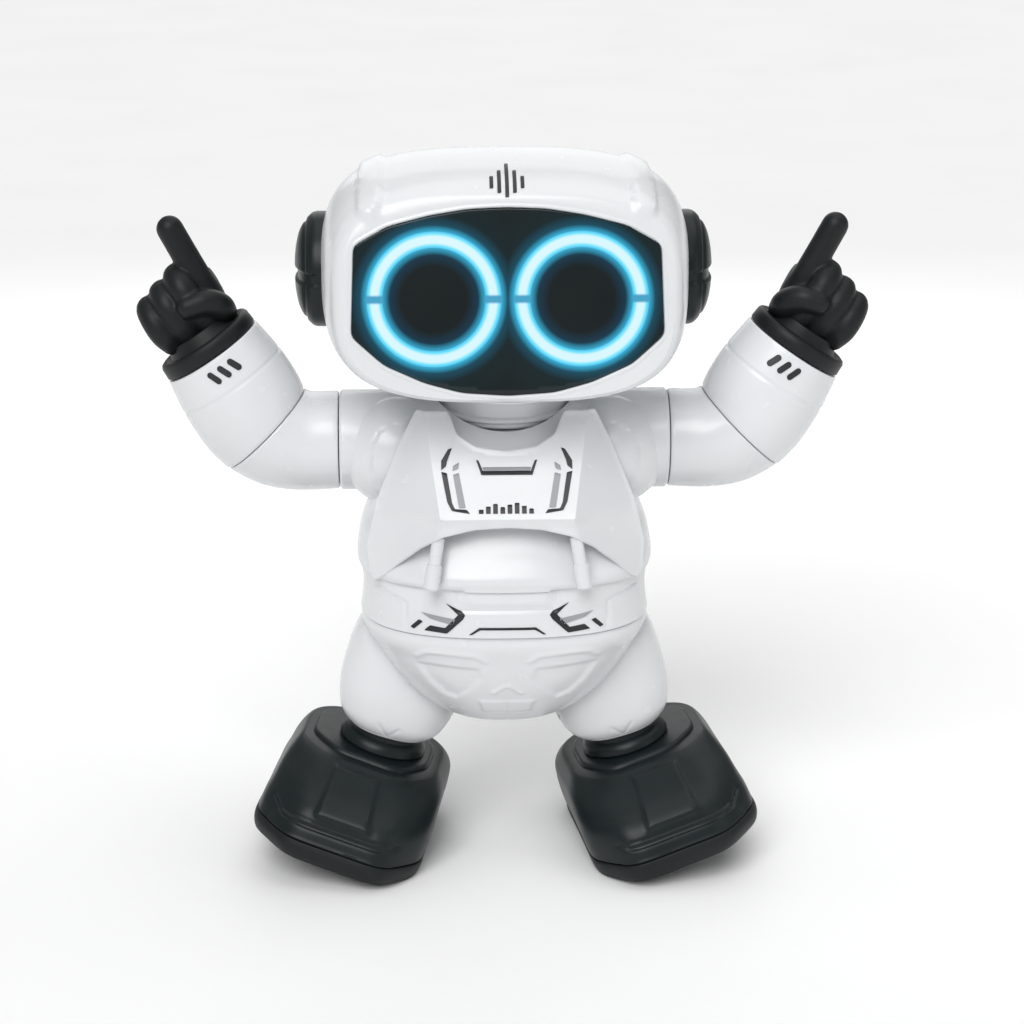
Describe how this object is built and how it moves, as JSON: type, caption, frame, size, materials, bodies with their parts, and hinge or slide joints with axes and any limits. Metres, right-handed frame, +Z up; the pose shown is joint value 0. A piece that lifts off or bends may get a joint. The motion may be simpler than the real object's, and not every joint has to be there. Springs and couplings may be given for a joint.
{
  "type": "toy robot",
  "caption": "Standing humanoid toy robot with a wide glossy face window, ring-shaped glowing eyes, raised arms with pointing hands and big splayed boots.",
  "frame": {"origin": "on the ground, under the centre of the bounding box", "axes": "+Z up; the robot faces -Y; +X is to the right seen from in front"},
  "size_m": [0.1986, 0.0858, 0.1965],
  "materials": {
    "white_shell": "glossy moulded ABS",
    "pearl_ring": "satin moulded ABS",
    "black_shell": "satin black moulded ABS",
    "soft_black": "soft black vinyl",
    "visor_black": "high gloss smoked window",
    "eye_light": "lit light guide",
    "circuit_board": "solder mask",
    "inner_grey": "moulded inner part",
    "steel": "plain steel",
    "cell_wrap": "battery sleeve"
  },
  "bodies": {
    "pelvis": {"pelvis_front_shell": "white_shell", "pelvis_rear_shell": "white_shell", "hip_axle_left": "steel", "hip_axle_right": "steel", "waist_bearing": "inner_grey", "leg_motor": "steel"},
    "torso": {"torso_front_shell": "white_shell", "torso_rear_shell": "white_shell", "chest_plate": "white_shell", "belly_tube_left": "white_shell", "belly_tube_right": "white_shell", "battery_holder": "black_shell", "battery_cell_1": "cell_wrap", "battery_cell_2": "cell_wrap", "battery_cell_3": "cell_wrap", "battery_door": "white_shell", "battery_door_screw": "steel", "main_board": "circuit_board", "neck_post": "inner_grey", "neck_socket_ring": "pearl_ring", "shoulder_pin_left": "inner_grey", "shoulder_pin_right": "inner_grey"},
    "switch_knob": {"power_switch": "black_shell"},
    "head": {"head_front_shell": "white_shell", "head_rear_shell": "white_shell", "visor": "visor_black", "eye_ring_left": "eye_light", "eye_ring_right": "eye_light", "led_board": "circuit_board", "ear_left": "black_shell", "ear_right": "black_shell", "touch_sensor_plate": "steel", "speaker": "inner_grey", "neck_collar": "white_shell"},
    "arm_left": {"upper_arm_left": "white_shell", "elbow_pin_left": "inner_grey"},
    "forearm_left": {"forearm_left": "white_shell", "hand_left": "soft_black"},
    "leg_left": {"leg_shell_left": "white_shell", "leg_gear_left": "inner_grey", "ankle_collar_left": "black_shell", "foot_upper_left": "black_shell", "foot_sole_left": "soft_black"},
    "arm_right": {"upper_arm_right": "white_shell", "elbow_pin_right": "inner_grey"},
    "forearm_right": {"forearm_right": "white_shell", "hand_right": "soft_black"},
    "leg_right": {"leg_shell_right": "white_shell", "leg_gear_right": "inner_grey", "ankle_collar_right": "black_shell", "foot_upper_right": "black_shell", "foot_sole_right": "soft_black"}
  },
  "joints": [
    {"name": "waist_turn", "type": "hinge", "parent": "pelvis", "child": "torso", "pos_m": [0, -0.00073, 0.0704], "axis": [0, 0, 1], "range_deg": [-20, 20]},
    {"name": "neck_turn", "type": "hinge", "parent": "torso", "child": "head", "pos_m": [0, 0.00327, 0.128], "axis": [0, 0, 1], "range_deg": [-35, 35]},
    {"name": "power_switch_slide", "type": "slide", "parent": "torso", "child": "switch_knob", "axis": [1, 0, 0], "range_m": [0, 0.0022]},
    {"name": "shoulder_left", "type": "hinge", "parent": "torso", "child": "arm_left", "pos_m": [-0.045, 0.00327, 0.1158], "axis": [1, 0, 0], "continuous": true},
    {"name": "elbow_left", "type": "hinge", "parent": "arm_left", "child": "forearm_left", "pos_m": [-0.0651, 0.00327, 0.1192], "axis": [-0.7071, 0, 0.7071], "range_deg": [-90, 90]},
    {"name": "hip_left", "type": "hinge", "parent": "pelvis", "child": "leg_left", "pos_m": [-0.026, -0.00073, 0.054], "axis": [0, -1, 0], "range_deg": [-2, 12]},
    {"name": "shoulder_right", "type": "hinge", "parent": "torso", "child": "arm_right", "pos_m": [0.045, 0.00327, 0.1158], "axis": [1, 0, 0], "continuous": true},
    {"name": "elbow_right", "type": "hinge", "parent": "arm_right", "child": "forearm_right", "pos_m": [0.0651, 0.00327, 0.1192], "axis": [0.7071, 0, 0.7071], "range_deg": [-90, 90]},
    {"name": "hip_right", "type": "hinge", "parent": "pelvis", "child": "leg_right", "pos_m": [0.026, -0.00073, 0.054], "axis": [0, 1, 0], "range_deg": [-2, 12]}
  ],
  "couplings": [
    {"joint": "hip_right", "follows": "hip_left", "ratio": 1}
  ]
}
